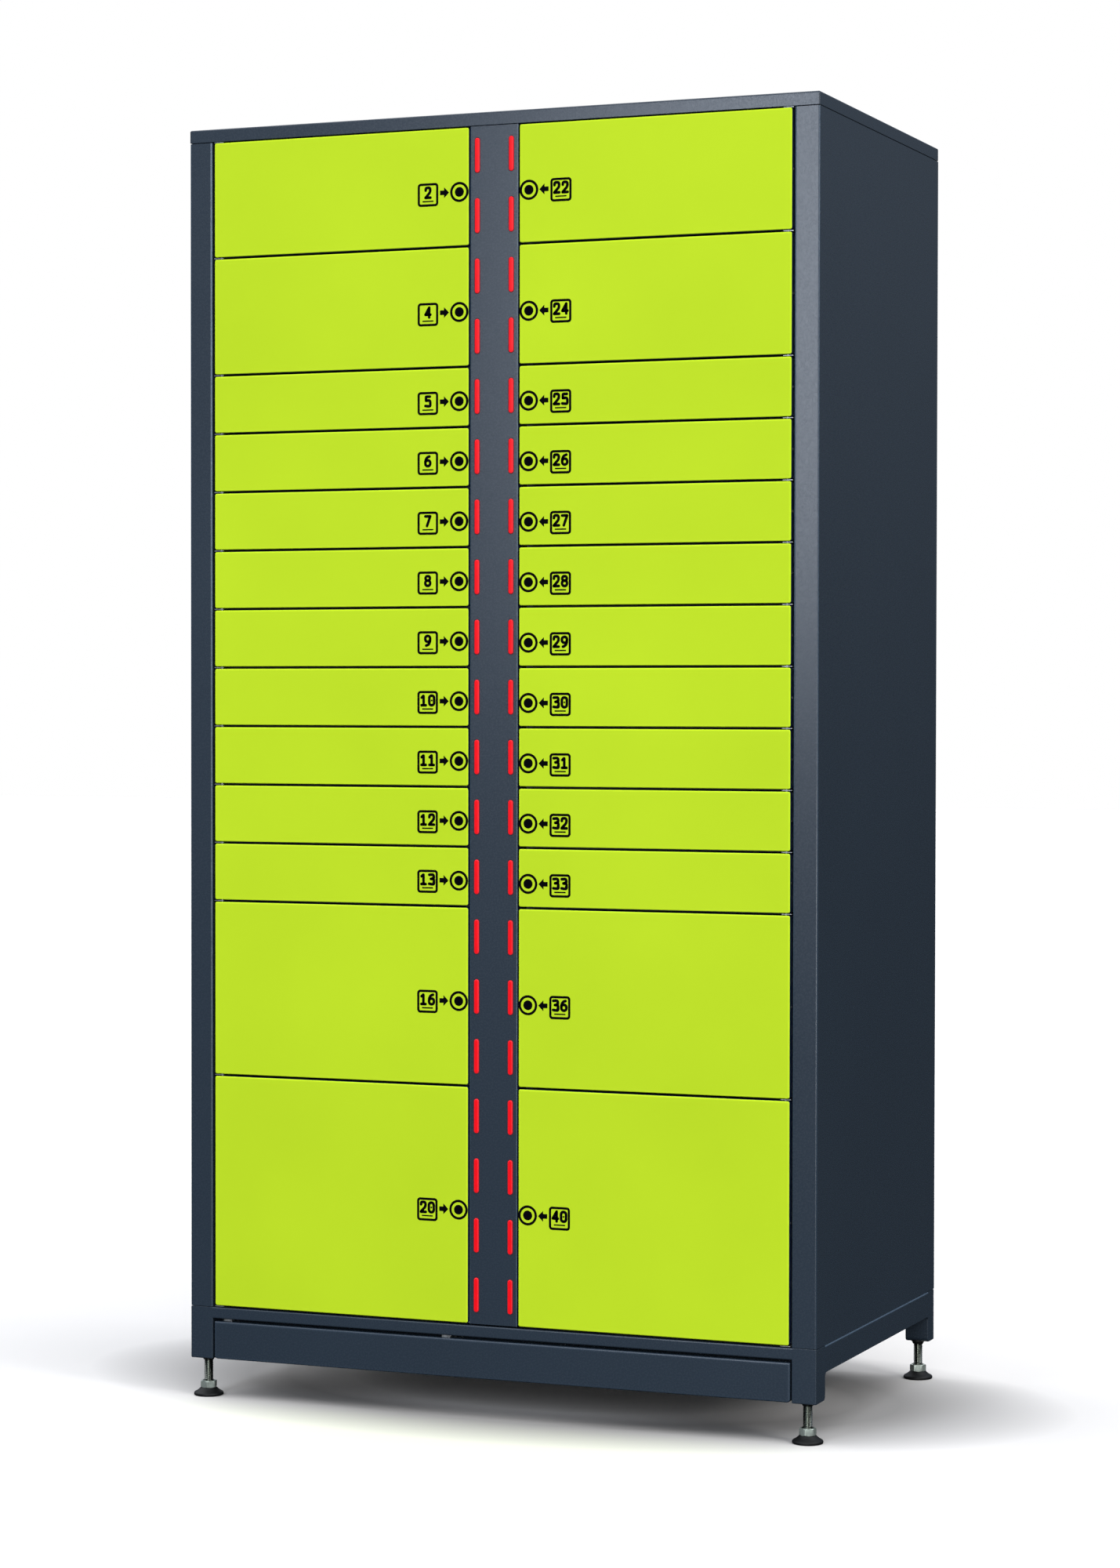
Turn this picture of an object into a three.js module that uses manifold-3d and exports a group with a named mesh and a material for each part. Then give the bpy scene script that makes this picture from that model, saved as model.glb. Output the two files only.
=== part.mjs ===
// Two-column electronic parcel locker: folded steel case on four screw feet, 26 doors, central lock post.
// Millimetres. +Z up, the doors face -Y, X = 0 is the middle of the post, Z = 0 is the floor.
import * as THREE from "three";
import { mergeVertices } from "three/addons/utils/BufferGeometryUtils.js";
import Module from "manifold-3d";

const wasm = await Module();
wasm.setup();

// ---- driving dimensions ----
const WIDTH = 1000;
const DEPTH = 590;
const HEIGHT = 1920;
const SHEET = 1.5; // thickness of every folded sheet
const FLATNESS = 0.01; // faces this close to one plane are merged
const GAP = 0.5; // gap left between parts that are bolted together
const FIT = 0.3; // clearance between two faces that lie against each other

const HALF_W = WIDTH / 2;
const FRONT = -DEPTH / 2;
const BACK = DEPTH / 2;

// base
const FOOT_HEIGHT = 59; // floor to the underside of the legs
const BASE_TOP = 138;
const LEG_WIDTH = 37;
const LEG_DEPTH_FRONT = 42;
const LEG_DEPTH_BACK = 32;
const LEG_WALL = 2;
const FRONT_RAIL_HEIGHT = 17;
const SIDE_RAIL_HEIGHT = 39;
const RAIL_THICKNESS = 2;
const RAIL_LIP = 26; // width of the flat lip folded inwards at the top of each rail
const SHADE_BACK = 32.5; // the front rail's lower lip ends in a strip turned down behind the cover
const SHADE_DROP = 8;
const GUSSET = 4; // small sloping corner between a leg and its side rail
const NUT_PLATE = 8;

// plinth cover
const COVER_HALF_WIDTH = 460.5;
const COVER_BOTTOM = 59.5;
const COVER_TOP = 116.5;
const COVER_RETURN = 24;
const CLIP_X = [-447, -85];
const CLIP_WIDTH = 14;
const CLIP_SHEET = 1.2;

// screw feet
const FOOT_INSET_X = 19.4;
const FOOT_INSET_Y = 21;
const PAD_RADIUS = 22.5;
const PAD_HEIGHT = 11.5;
const PAD_SIDES = 20;
const STEM_RADIUS = 7;
const STEM_SIDES = 16;
const HEX_ACROSS_CORNERS = 25.4;
const HEX_HEIGHT = 10;
const STEM_TOP = 100;
const THREAD_CLEARANCE = 0.5;

// case
const CASE_BOTTOM = BASE_TOP + GAP;
const CAP_BOTTOM = 1900.5;
const CASE_TOP = CAP_BOTTOM - GAP;
const JAMB_EDGE = 463; // inner edge of the front jambs
const JAMB_DEPTH = 30;
const REAR_FLANGE = 22;
const PLATE_FLANGE = 14;

// door field
const UNIT = 88.1; // height of one door unit
const UNITS = 20;
const FIELD_BOTTOM = 139.5;
const DOOR_OUTER = 458.5;
const DOOR_INNER = 40.5;
const DOOR_DEPTH = 18;
const DOOR_GAP = 3.5;
const DOOR_TOP = CAP_BOTTOM - 1.9; // top edge of the highest door
const DOOR_CORNER = 2;
const COLUMN = [2, 2, 1, 1, 1, 1, 1, 1, 1, 1, 1, 3, 4]; // door heights in units, from the top down

// hinge
const PIVOT_X = 450.5;
const PIVOT_Y = FRONT + 9;
const ROD_RADIUS = 2.5;
const ROD_CLEARANCE = 0.45;
const ROD_SIDES = 12;
const BORE_SIDES = 8;
const BORE_RADIUS = (ROD_RADIUS + ROD_CLEARANCE) / Math.cos(Math.PI / BORE_SIDES); // flats clear the rod
const TAB_THICKNESS = 1.2;
const TAB_TOP = CAP_BOTTOM - 0.2;
const TAB_INNER = 445;
const LADDER_X = 458.4;
const LADDER_END_X = 460.4;
const LADDER_FRONT = FRONT + 23;
const LADDER_BACK = FRONT + 43;

// racks of compartments
const RACK_FRONT = FRONT + 22;
const RACK_BACK = BACK - 3;
const RACK_OUTER = 458;
const RACK_INNER = 52;
const LIP_EDGE = 43.5; // the inner wall's front lip reaches this far towards the post
const LIP_WINDOW = 30; // height of the lip's cut-out for each striker

// locks
const STRIKER_X = 44.6;
const STRIKER_THICKNESS = 2.4;
const STRIKER_TIP = FRONT + 34;
const STRIKER_HEIGHT = 20;
const LOCK_X = 40;
const LOCK_END_X = 51.7;
const LOCK_FRONT = FRONT + 24;
const LOCK_BACK = FRONT + 84;
const LOCK_HEIGHT = 52;
const LOCK_SLOT_DEPTH = 14;
const LOCK_SLOT_HALF = 2.9;
const LOCK_STRIP_X = 38;

// post and lights
const POST_HALF = 38;
const POST_FRONT = FRONT + 1;
const POST_RETURN = 22;
const BAR_X = 27;
const BAR_WIDTH = 7.6;
const BAR_LENGTH = 51;
const BAR_FRONT = FRONT + 0.2;
const BAR_CLEARANCE = 0.4;
const STRIP_WIDTH = 16;
const STRIP_THICKNESS = 2;
const BAR_SEGMENTS = 2;

// duct fittings
const DUCT_WALL = 51.7; // the duct is the space between the two racks; fittings stop just short of its walls
const TRUNK_WIDTH = 22;
const TRUNK_FRONT = FRONT + 96;
const EQUIPMENT_FRONT = TRUNK_FRONT + TRUNK_WIDTH + 1;
const CONTROL_SIZE = [72, 74, 230];
const CONTROL_Z = 1010;
const SUPPLY_SIZE = [62, 60, 190];
const SUPPLY_Z = 250;
const INLET_Z = 185;
const INLET_FLANGE = 4;
const INLET_HALF_X = 14;
const INLET_HEIGHT = 24;

// ---- colours ----
const ANTHRACITE = [0x323b46, 0.55, 0.1];
const LIME = [0xc2e324, 0.45, 0.0];
const ZINC = [0xb9bcbc, 0.35, 0.9];
const BLACK_PLASTIC = [0x17191b, 0.6, 0.0];
const RED_PLASTIC = [0xff2030, 0.25, 0.0];
const GREY_STEEL = [0x9aa0a4, 0.4, 0.7];
const WHITE_PLASTIC = [0xc9ccca, 0.5, 0.0];

// ---- helpers ----
function solid(geometry) {
  geometry.deleteAttribute("normal");
  geometry.deleteAttribute("uv");
  const merged = mergeVertices(geometry, 1e-4);
  const mesh = new wasm.Mesh({
    numProp: 3,
    vertProperties: new Float32Array(merged.attributes.position.array),
    triVerts: new Uint32Array(merged.index.array),
  });
  return new wasm.Manifold(mesh);
}

function box(x0, x1, y0, y1, z0, z1) {
  const geometry = new THREE.BoxGeometry(Math.abs(x1 - x0), Math.abs(y1 - y0), Math.abs(z1 - z0));
  geometry.translate((x0 + x1) / 2, (y0 + y1) / 2, (z0 + z1) / 2);
  return solid(geometry);
}

function cylinder(radius, sides, x, y, z0, z1) {
  const geometry = new THREE.CylinderGeometry(radius, radius, z1 - z0, sides);
  geometry.rotateX(Math.PI / 2);
  geometry.translate(x, y, (z0 + z1) / 2);
  return solid(geometry);
}

// An outline in the X-Z plane, given as a THREE.Shape, thickened from y0 to y1.
function frontPlate(shape, y0, y1, segments) {
  const geometry = new THREE.ExtrudeGeometry(shape, {
    depth: y1 - y0, bevelEnabled: false, curveSegments: segments,
  });
  geometry.rotateX(Math.PI / 2);
  geometry.translate(0, y1, 0);
  return solid(geometry);
}

function roundedOutline(x0, x1, z0, z1, radius) {
  const shape = new THREE.Shape();
  shape.moveTo(x0 + radius, z0);
  shape.lineTo(x1 - radius, z0);
  shape.absarc(x1 - radius, z0 + radius, radius, -Math.PI / 2, 0, false);
  shape.lineTo(x1, z1 - radius);
  shape.absarc(x1 - radius, z1 - radius, radius, 0, Math.PI / 2, false);
  shape.lineTo(x0 + radius, z1);
  shape.absarc(x0 + radius, z1 - radius, radius, Math.PI / 2, Math.PI, false);
  shape.lineTo(x0, z0 + radius);
  shape.absarc(x0 + radius, z0 + radius, radius, Math.PI, Math.PI * 1.5, false);
  return shape;
}

function union(pieces) {
  return pieces.reduce((whole, piece) => whole.add(piece));
}

function mirrored(manifold, side) {
  return side > 0 ? manifold : manifold.mirror([1, 0, 0]);
}

function mesh(name, manifold, [color, roughness, metalness], position = [0, 0, 0]) {
  const data = manifold.asOriginal().simplify(FLATNESS).getMesh();
  const geometry = new THREE.BufferGeometry();
  geometry.setAttribute("position", new THREE.BufferAttribute(data.vertProperties, 3));
  geometry.setIndex(new THREE.BufferAttribute(data.triVerts, 1));
  const material = new THREE.MeshStandardMaterial({ color, roughness, metalness });
  const node = new THREE.Mesh(geometry, material);
  node.name = name;
  node.position.set(...position);
  return node;
}

const sideName = (side) => (side > 0 ? "right" : "left");

// Heights of the 14 seams of a column, from the top of the door field down.
function seams() {
  const heights = [FIELD_BOTTOM + UNITS * UNIT];
  for (const units of COLUMN) {
    heights.push(heights[heights.length - 1] - units * UNIT);
  }
  return heights;
}

const SEAMS = seams();

const doorMiddles = () => COLUMN.map((_, i) => (SEAMS[i] + SEAMS[i + 1]) / 2);

// ---- base ----
function leg(side, y0, y1) {
  const inner = side * (HALF_W - LEG_WIDTH);
  const outer = side * HALF_W;
  const x0 = Math.min(inner, outer);
  const x1 = Math.max(inner, outer);
  const tube = box(x0, x1, y0, y1, FOOT_HEIGHT, BASE_TOP);
  const hollow = box(x0 + LEG_WALL, x1 - LEG_WALL, y0 + LEG_WALL, y1 - LEG_WALL,
    FOOT_HEIGHT + NUT_PLATE, BASE_TOP + 1);
  const footX = side * (HALF_W - FOOT_INSET_X);
  const footY = Math.sign(y0 + y1) * (BACK - FOOT_INSET_Y);
  const hole = cylinder(STEM_RADIUS + THREAD_CLEARANCE, STEM_SIDES, footX, footY,
    FOOT_HEIGHT - 1, FOOT_HEIGHT + NUT_PLATE + 1);
  return tube.subtract(hollow).subtract(hole);
}

// Side rail with a sloping corner down to each leg, and a flat lip folded inwards at the top.
function sideRail(side) {
  const y0 = FRONT + LEG_DEPTH_FRONT - 1;
  const y1 = BACK - LEG_DEPTH_BACK + 1;
  const low = BASE_TOP - SIDE_RAIL_HEIGHT;
  const shape = new THREE.Shape();
  shape.moveTo(y0, BASE_TOP);
  shape.lineTo(y0, low - GUSSET);
  shape.lineTo(y0 + GUSSET, low);
  shape.lineTo(y1 - GUSSET, low);
  shape.lineTo(y1, low - GUSSET);
  shape.lineTo(y1, BASE_TOP);
  const geometry = new THREE.ExtrudeGeometry(shape, { depth: RAIL_THICKNESS, bevelEnabled: false });
  geometry.rotateX(Math.PI / 2);
  geometry.rotateZ(Math.PI / 2);
  geometry.translate(HALF_W - RAIL_THICKNESS, 0, 0);
  const web = mirrored(solid(geometry), side);
  const lip = mirrored(box(HALF_W - RAIL_LIP, HALF_W - 1, y0, y1, BASE_TOP - RAIL_THICKNESS, BASE_TOP), side);
  return web.add(lip);
}

function frontRail() {
  const half = HALF_W - LEG_WIDTH + 1;
  const low = BASE_TOP - FRONT_RAIL_HEIGHT;
  return union([
    box(-half, half, FRONT, FRONT + RAIL_THICKNESS, low, BASE_TOP),
    box(-half, half, FRONT, FRONT + RAIL_LIP, BASE_TOP - RAIL_THICKNESS, BASE_TOP),
    box(-half, half, FRONT, FRONT + SHADE_BACK, low, low + RAIL_THICKNESS),
    box(-half, half, FRONT + SHADE_BACK - RAIL_THICKNESS, FRONT + SHADE_BACK, low - SHADE_DROP, low + 1),
  ]);
}

function backRail() {
  const half = HALF_W - LEG_WIDTH + 1;
  const low = BASE_TOP - SIDE_RAIL_HEIGHT;
  return union([
    box(-half, half, BACK - RAIL_THICKNESS, BACK, low, BASE_TOP),
    box(-half, half, BACK - RAIL_LIP, BACK, BASE_TOP - RAIL_THICKNESS, BASE_TOP),
  ]);
}

function baseFrame() {
  const pieces = [frontRail(), backRail()];
  for (const side of [-1, 1]) {
    pieces.push(leg(side, FRONT, FRONT + LEG_DEPTH_FRONT));
    pieces.push(leg(side, BACK - LEG_DEPTH_BACK, BACK));
    pieces.push(sideRail(side));
  }
  return union(pieces);
}

function plinthCover() {
  const x = COVER_HALF_WIDTH;
  const y = FRONT + GAP;
  const back = y + COVER_RETURN;
  return union([
    box(-x, x, y, y + SHEET, COVER_BOTTOM, COVER_TOP),
    box(-x, x, y, back, COVER_TOP - SHEET, COVER_TOP),
    box(-x, x, y, back, COVER_BOTTOM, COVER_BOTTOM + SHEET),
    box(-x, -x + SHEET, y, back, COVER_BOTTOM, COVER_TOP),
    box(x - SHEET, x, y, back, COVER_BOTTOM, COVER_TOP),
  ]);
}

// Bent spring steel clip hanging from the front rail and pressing on the cover's top return.
function plinthClip(x) {
  const top = BASE_TOP - FRONT_RAIL_HEIGHT - FIT;
  const y = FRONT + 6;
  const back = FRONT + COVER_RETURN + 6;
  return union([
    box(x, x + CLIP_WIDTH, y, back, top - CLIP_SHEET, top),
    box(x, x + CLIP_WIDTH, back - CLIP_SHEET, back, COVER_TOP - 14, top),
    box(x, x + CLIP_WIDTH, y, y + 8, COVER_TOP + 0.4, top),
  ]);
}

// ---- feet ----
function footPad() {
  const profile = [
    [0, 0], [PAD_RADIUS - 1, 0], [PAD_RADIUS, 1.2], [PAD_RADIUS, 4], [PAD_RADIUS - 2, 5.2],
    [16.5, 7.8], [13, 10.9], [12, PAD_HEIGHT], [0, PAD_HEIGHT],
  ].map(([r, z]) => new THREE.Vector2(r, z));
  const geometry = new THREE.LatheGeometry(profile, PAD_SIDES);
  geometry.rotateX(Math.PI / 2);
  return solid(geometry);
}

function footStem() {
  const hexBottom = PAD_HEIGHT + FIT;
  const hexTop = hexBottom + HEX_HEIGHT;
  return union([
    cylinder(HEX_ACROSS_CORNERS / 2, 6, 0, 0, hexBottom, hexTop),
    cylinder(STEM_RADIUS, STEM_SIDES, 0, 0, hexTop - 1, STEM_TOP),
  ]);
}

// ---- case ----
// Right-hand side panel: skin, front jamb with its return, rear flange, top and bottom flanges.
function sidePanel() {
  const y1 = BACK;
  const jamb = FRONT + JAMB_DEPTH;
  const flangeBack = BACK - SHEET - FIT;
  return union([
    box(HALF_W - SHEET, HALF_W, FRONT, y1, CASE_BOTTOM, CASE_TOP),
    box(JAMB_EDGE, HALF_W, FRONT, FRONT + SHEET, CASE_BOTTOM, CASE_TOP),
    box(JAMB_EDGE, JAMB_EDGE + SHEET, FRONT, jamb, CASE_BOTTOM, CASE_TOP),
    box(JAMB_EDGE, JAMB_EDGE + PLATE_FLANGE, jamb - SHEET, jamb, CASE_BOTTOM, CASE_TOP),
    box(HALF_W - REAR_FLANGE, HALF_W, flangeBack - SHEET, flangeBack, CASE_BOTTOM, CASE_TOP),
    box(HALF_W - PLATE_FLANGE, HALF_W, FRONT, flangeBack, CASE_BOTTOM, CASE_BOTTOM + SHEET),
    box(HALF_W - PLATE_FLANGE, HALF_W, FRONT, flangeBack, CASE_TOP - SHEET, CASE_TOP),
  ]);
}

// Back sheet between the side panels, with the cut-out for the power inlet.
function backPanel() {
  const x = HALF_W - SHEET - FIT;
  const sheet = box(-x, x, BACK - SHEET, BACK, CASE_BOTTOM, CASE_TOP);
  const cutout = box(-INLET_HALF_X - GAP, INLET_HALF_X + GAP, BACK - 2 * SHEET, BACK + 1,
    INLET_Z - GAP, INLET_Z + INLET_HEIGHT + GAP);
  return sheet.subtract(cutout);
}

function topCap() {
  const outside = box(-HALF_W, HALF_W, FRONT, BACK, CAP_BOTTOM, HEIGHT);
  const inside = box(-HALF_W + SHEET, HALF_W - SHEET, FRONT + SHEET, BACK - SHEET,
    CAP_BOTTOM - 1, HEIGHT - SHEET);
  const lipFront = box(-HALF_W, HALF_W, FRONT, FRONT + PLATE_FLANGE, CAP_BOTTOM, CAP_BOTTOM + SHEET);
  const lipBack = box(-HALF_W, HALF_W, BACK - PLATE_FLANGE, BACK, CAP_BOTTOM, CAP_BOTTOM + SHEET);
  return outside.subtract(inside).add(lipFront).add(lipBack);
}

// Centre height of each light bar, one in the middle of every unit.
function barHeights() {
  return Array.from({ length: UNITS }, (_, i) => FIELD_BOTTOM + UNIT * (i + 0.5));
}

function stadium(x, z, width, length) {
  return roundedOutline(x - width / 2, x + width / 2, z - length / 2, z + length / 2, width / 2);
}

function postCover() {
  const back = POST_FRONT + POST_RETURN;
  const channel = union([
    box(-POST_HALF, POST_HALF, POST_FRONT, POST_FRONT + SHEET, CASE_BOTTOM, CASE_TOP),
    box(-POST_HALF, -POST_HALF + SHEET, POST_FRONT, back, CASE_BOTTOM, CASE_TOP),
    box(POST_HALF - SHEET, POST_HALF, POST_FRONT, back, CASE_BOTTOM, CASE_TOP),
  ]);
  const slots = [];
  for (const z of barHeights()) {
    for (const side of [-1, 1]) {
      const outline = stadium(side * BAR_X, z, BAR_WIDTH + 2 * BAR_CLEARANCE, BAR_LENGTH + 2 * BAR_CLEARANCE);
      slots.push(frontPlate(outline, POST_FRONT - 1, POST_FRONT + SHEET + 1, BAR_SEGMENTS));
    }
  }
  return channel.subtract(union(slots));
}

function lightStrip(side) {
  const y = POST_FRONT + SHEET + FIT;
  const x = side * BAR_X;
  const pieces = [box(x - STRIP_WIDTH / 2, x + STRIP_WIDTH / 2, y, y + STRIP_THICKNESS,
    CASE_BOTTOM + 10, CASE_TOP - 10)];
  for (const z of barHeights()) {
    pieces.push(frontPlate(stadium(x, z, BAR_WIDTH, BAR_LENGTH), BAR_FRONT, y + 1, BAR_SEGMENTS));
  }
  return union(pieces);
}

// Right-hand rack: two walls joined by a floor at every seam. A lip along the front of the inner wall closes
// the gap to the duct behind the doors, and is cut away where each striker passes.
function rack() {
  const z0 = CASE_BOTTOM + GAP;
  const z1 = CASE_TOP - GAP;
  const lipBack = RACK_FRONT + SHEET;
  const pieces = [
    box(RACK_OUTER - SHEET, RACK_OUTER, RACK_FRONT, RACK_BACK, z0, z1),
    box(RACK_INNER, RACK_INNER + SHEET, RACK_FRONT, RACK_BACK, z0, z1),
    box(LIP_EDGE, RACK_INNER + SHEET, RACK_FRONT, lipBack, z0, z1),
  ];
  for (const seam of SEAMS) {
    const top = Math.max(z0 + SHEET, Math.min(z1, seam + SHEET / 2));
    pieces.push(box(RACK_INNER, RACK_OUTER, RACK_FRONT, RACK_BACK, top - SHEET, top));
  }
  const windows = doorMiddles().map((middle) => box(LIP_EDGE - 1, RACK_INNER, RACK_FRONT - 1, lipBack + 1,
    middle - LIP_WINDOW / 2, middle + LIP_WINDOW / 2));
  return union(pieces).subtract(union(windows));
}

// ---- doors ----
// Right-hand door: a pan with four returns, pivot holes in the top and bottom ones, and a striker plate.
function door(units, z1) {
  const z0 = z1 - (units * UNIT - DOOR_GAP);
  const back = FRONT + DOOR_DEPTH;
  const skin = frontPlate(roundedOutline(DOOR_INNER, DOOR_OUTER, z0, z1, DOOR_CORNER), FRONT, back, 1);
  const hollow = box(DOOR_INNER + SHEET, DOOR_OUTER - SHEET, FRONT + SHEET, back + 1, z0 + SHEET, z1 - SHEET);
  const pivot = cylinder(BORE_RADIUS, BORE_SIDES, PIVOT_X, PIVOT_Y,
    z0 - 1, z1 + 1);
  const middle = (z0 + z1) / 2;
  const striker = box(STRIKER_X, STRIKER_X + STRIKER_THICKNESS, FRONT + SHEET / 2, STRIKER_TIP,
    middle - STRIKER_HEIGHT / 2, middle + STRIKER_HEIGHT / 2);
  return skin.subtract(hollow).subtract(pivot).add(striker);
}

function doors(side, firstNumber) {
  const nodes = [];
  let number = firstNumber;
  COLUMN.forEach((units, i) => {
    number += units;
    const top = Math.min(SEAMS[i] - DOOR_GAP / 2, DOOR_TOP);
    const bottom = SEAMS[i + 1] + DOOR_GAP / 2;
    const tall = (top - bottom + DOOR_GAP) / UNIT;
    const label = String(number).padStart(2, "0");
    nodes.push(mesh(`door_${label}`, mirrored(door(tall, top), side), LIME));
  });
  return nodes;
}

// ---- hinges ----
function hingeRod() {
  return cylinder(ROD_RADIUS, ROD_SIDES, PIVOT_X, PIVOT_Y, CASE_BOTTOM + 0.4, CASE_TOP - 0.4);
}

// Right-hand ladder: an upright strip with a tab in each door gap; the tab reaches forward around the rack.
function hingeLadder() {
  const z0 = CASE_BOTTOM + GAP;
  const pieces = [box(LADDER_X, LADDER_END_X, LADDER_FRONT, LADDER_BACK, z0, TAB_TOP)];
  for (const seam of SEAMS) {
    const top = Math.max(z0 + TAB_THICKNESS, Math.min(TAB_TOP, seam + TAB_THICKNESS / 2));
    const low = top - TAB_THICKNESS;
    pieces.push(box(TAB_INNER, LADDER_END_X, FRONT + 2.5, RACK_FRONT - 0.6, low, top));
    pieces.push(box(LADDER_X, LADDER_END_X, RACK_FRONT - 1, LADDER_FRONT + 1, low, top));
  }
  const hole = cylinder(BORE_RADIUS, BORE_SIDES, PIVOT_X, PIVOT_Y,
    z0 - 1, TAB_TOP + 1);
  return union(pieces).subtract(hole);
}

// ---- locks ----
// Right-hand lock rail: an upright strip carrying one slotted lock housing behind each door.
function lockRail() {
  const strip = box(LOCK_STRIP_X + 0.6, LOCK_X + 1, LOCK_BACK - 26, LOCK_BACK, CASE_BOTTOM + 5, CASE_TOP - 5);
  const pieces = [strip];
  const slots = [];
  for (const middle of doorMiddles()) {
    const z0 = middle - LOCK_HEIGHT / 2;
    const slotX = STRIKER_X + STRIKER_THICKNESS / 2;
    pieces.push(box(LOCK_X, LOCK_END_X, LOCK_FRONT, LOCK_BACK, z0, z0 + LOCK_HEIGHT));
    slots.push(box(slotX - LOCK_SLOT_HALF, slotX + LOCK_SLOT_HALF, LOCK_FRONT - 1,
      LOCK_FRONT + LOCK_SLOT_DEPTH, middle - STRIKER_HEIGHT / 2 - 4, middle + STRIKER_HEIGHT / 2 + 4));
  }
  return union(pieces).subtract(union(slots));
}

// ---- duct fittings ----
function cableTrunk() {
  const x0 = DUCT_WALL - TRUNK_WIDTH;
  const y0 = TRUNK_FRONT;
  const y1 = TRUNK_FRONT + TRUNK_WIDTH;
  const outer = box(x0, DUCT_WALL, y0, y1, CASE_BOTTOM + 20, CASE_TOP - 20);
  const inner = box(x0 + SHEET, DUCT_WALL - SHEET, y0 - 1, y1 - SHEET, CASE_BOTTOM + 10, CASE_TOP - 10);
  return outer.subtract(inner);
}

// A closed unit fixed to the left-hand wall of the duct, standing on two short feet.
function equipment([width, depth, height], z) {
  const x0 = -DUCT_WALL;
  const y0 = EQUIPMENT_FRONT;
  const pieces = [box(x0 + 3, x0 + width, y0, y0 + depth, z, z + height)];
  for (const foot of [z - 8, z + height - 8]) {
    pieces.push(box(x0, x0 + 4, y0 + 10, y0 + depth - 10, foot, foot + 16));
  }
  return union(pieces);
}

// Recessed appliance inlet: a body with a socket well and three contact pins. Its flange sits behind the
// back sheet.
function powerInlet() {
  const x = INLET_HALF_X;
  const top = INLET_Z + INLET_HEIGHT;
  const flangeBack = BACK - SHEET - FIT;
  const body = box(-x, x, BACK - 30, BACK - 0.2, INLET_Z, top);
  const flange = box(-x - INLET_FLANGE, x + INLET_FLANGE, flangeBack - 1.7, flangeBack,
    INLET_Z - INLET_FLANGE, top + INLET_FLANGE);
  const well = box(-x + 3, x - 3, BACK - 18, BACK + 1, INLET_Z + 4, top - 4);
  const middle = INLET_Z + INLET_HEIGHT / 2;
  const pins = [-6, 0, 6].map((px) => box(px - 1, px + 1, BACK - 19, BACK - 4, middle - 2, middle + 2));
  return body.add(flange).subtract(well).add(union(pins));
}

// ---- assembly ----
const locker = new THREE.Group();
locker.name = "parcel_locker";

const base = new THREE.Group();
base.name = "base";
base.add(mesh("base_frame", baseFrame(), ANTHRACITE));
base.add(mesh("plinth_cover", plinthCover(), ANTHRACITE));
base.add(mesh("plinth_clip_left", plinthClip(CLIP_X[0]), ZINC));
base.add(mesh("plinth_clip_middle", plinthClip(CLIP_X[1]), ZINC));
for (const [corner, sx, sy] of [["fl", -1, -1], ["fr", 1, -1], ["bl", -1, 1], ["br", 1, 1]]) {
  const at = [sx * (HALF_W - FOOT_INSET_X), sy * (BACK - FOOT_INSET_Y), 0];
  base.add(mesh(`foot_pad_${corner}`, footPad(), BLACK_PLASTIC, at));
  base.add(mesh(`foot_stem_${corner}`, footStem(), ZINC, at));
}
locker.add(base);

const housing = new THREE.Group();
housing.name = "case";
for (const side of [-1, 1]) {
  housing.add(mesh(`side_panel_${sideName(side)}`, mirrored(sidePanel(), side), ANTHRACITE));
  housing.add(mesh(`rack_${sideName(side)}`, mirrored(rack(), side), ANTHRACITE));
  housing.add(mesh(`light_strip_${sideName(side)}`, lightStrip(side), RED_PLASTIC));
  housing.add(mesh(`hinge_rod_${sideName(side)}`, mirrored(hingeRod(), side), ZINC));
  housing.add(mesh(`hinge_ladder_${sideName(side)}`, mirrored(hingeLadder(), side), ZINC));
  housing.add(mesh(`lock_rail_${sideName(side)}`, mirrored(lockRail(), side), BLACK_PLASTIC));
}
housing.add(mesh("back_panel", backPanel(), ANTHRACITE));
housing.add(mesh("top_cap", topCap(), ANTHRACITE));
housing.add(mesh("post_cover", postCover(), ANTHRACITE));
housing.add(mesh("cable_trunk", cableTrunk(), WHITE_PLASTIC));
housing.add(mesh("control_box", equipment(CONTROL_SIZE, CONTROL_Z), BLACK_PLASTIC));
housing.add(mesh("power_supply", equipment(SUPPLY_SIZE, SUPPLY_Z), GREY_STEEL));
housing.add(mesh("power_inlet", powerInlet(), BLACK_PLASTIC));
locker.add(housing);

const doorGroup = new THREE.Group();
doorGroup.name = "doors";
doorGroup.add(...doors(-1, 0));
doorGroup.add(...doors(1, UNITS));
locker.add(doorGroup);

export default locker;
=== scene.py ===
"""Looks of the two-column parcel locker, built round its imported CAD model. Metres; +Z up; the doors face -Y."""

import math

import bmesh
import bpy
from mathutils import Matrix, Vector


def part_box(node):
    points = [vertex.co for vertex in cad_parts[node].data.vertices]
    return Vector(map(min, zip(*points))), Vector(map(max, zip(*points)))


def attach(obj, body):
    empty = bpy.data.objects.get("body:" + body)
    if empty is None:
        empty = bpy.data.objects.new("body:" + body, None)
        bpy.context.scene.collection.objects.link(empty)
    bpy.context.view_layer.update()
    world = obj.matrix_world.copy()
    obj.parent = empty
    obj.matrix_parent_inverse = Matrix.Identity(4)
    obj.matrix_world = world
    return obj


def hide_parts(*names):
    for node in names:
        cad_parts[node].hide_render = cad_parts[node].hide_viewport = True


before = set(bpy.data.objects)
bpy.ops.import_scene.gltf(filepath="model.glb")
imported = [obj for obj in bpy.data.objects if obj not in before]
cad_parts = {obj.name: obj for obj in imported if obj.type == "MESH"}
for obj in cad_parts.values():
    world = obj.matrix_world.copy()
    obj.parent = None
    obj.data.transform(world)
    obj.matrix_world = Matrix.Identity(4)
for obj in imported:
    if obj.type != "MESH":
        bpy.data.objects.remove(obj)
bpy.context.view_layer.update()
MM = 0.001
SIDES = {"left": -1, "right": 1}
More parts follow.
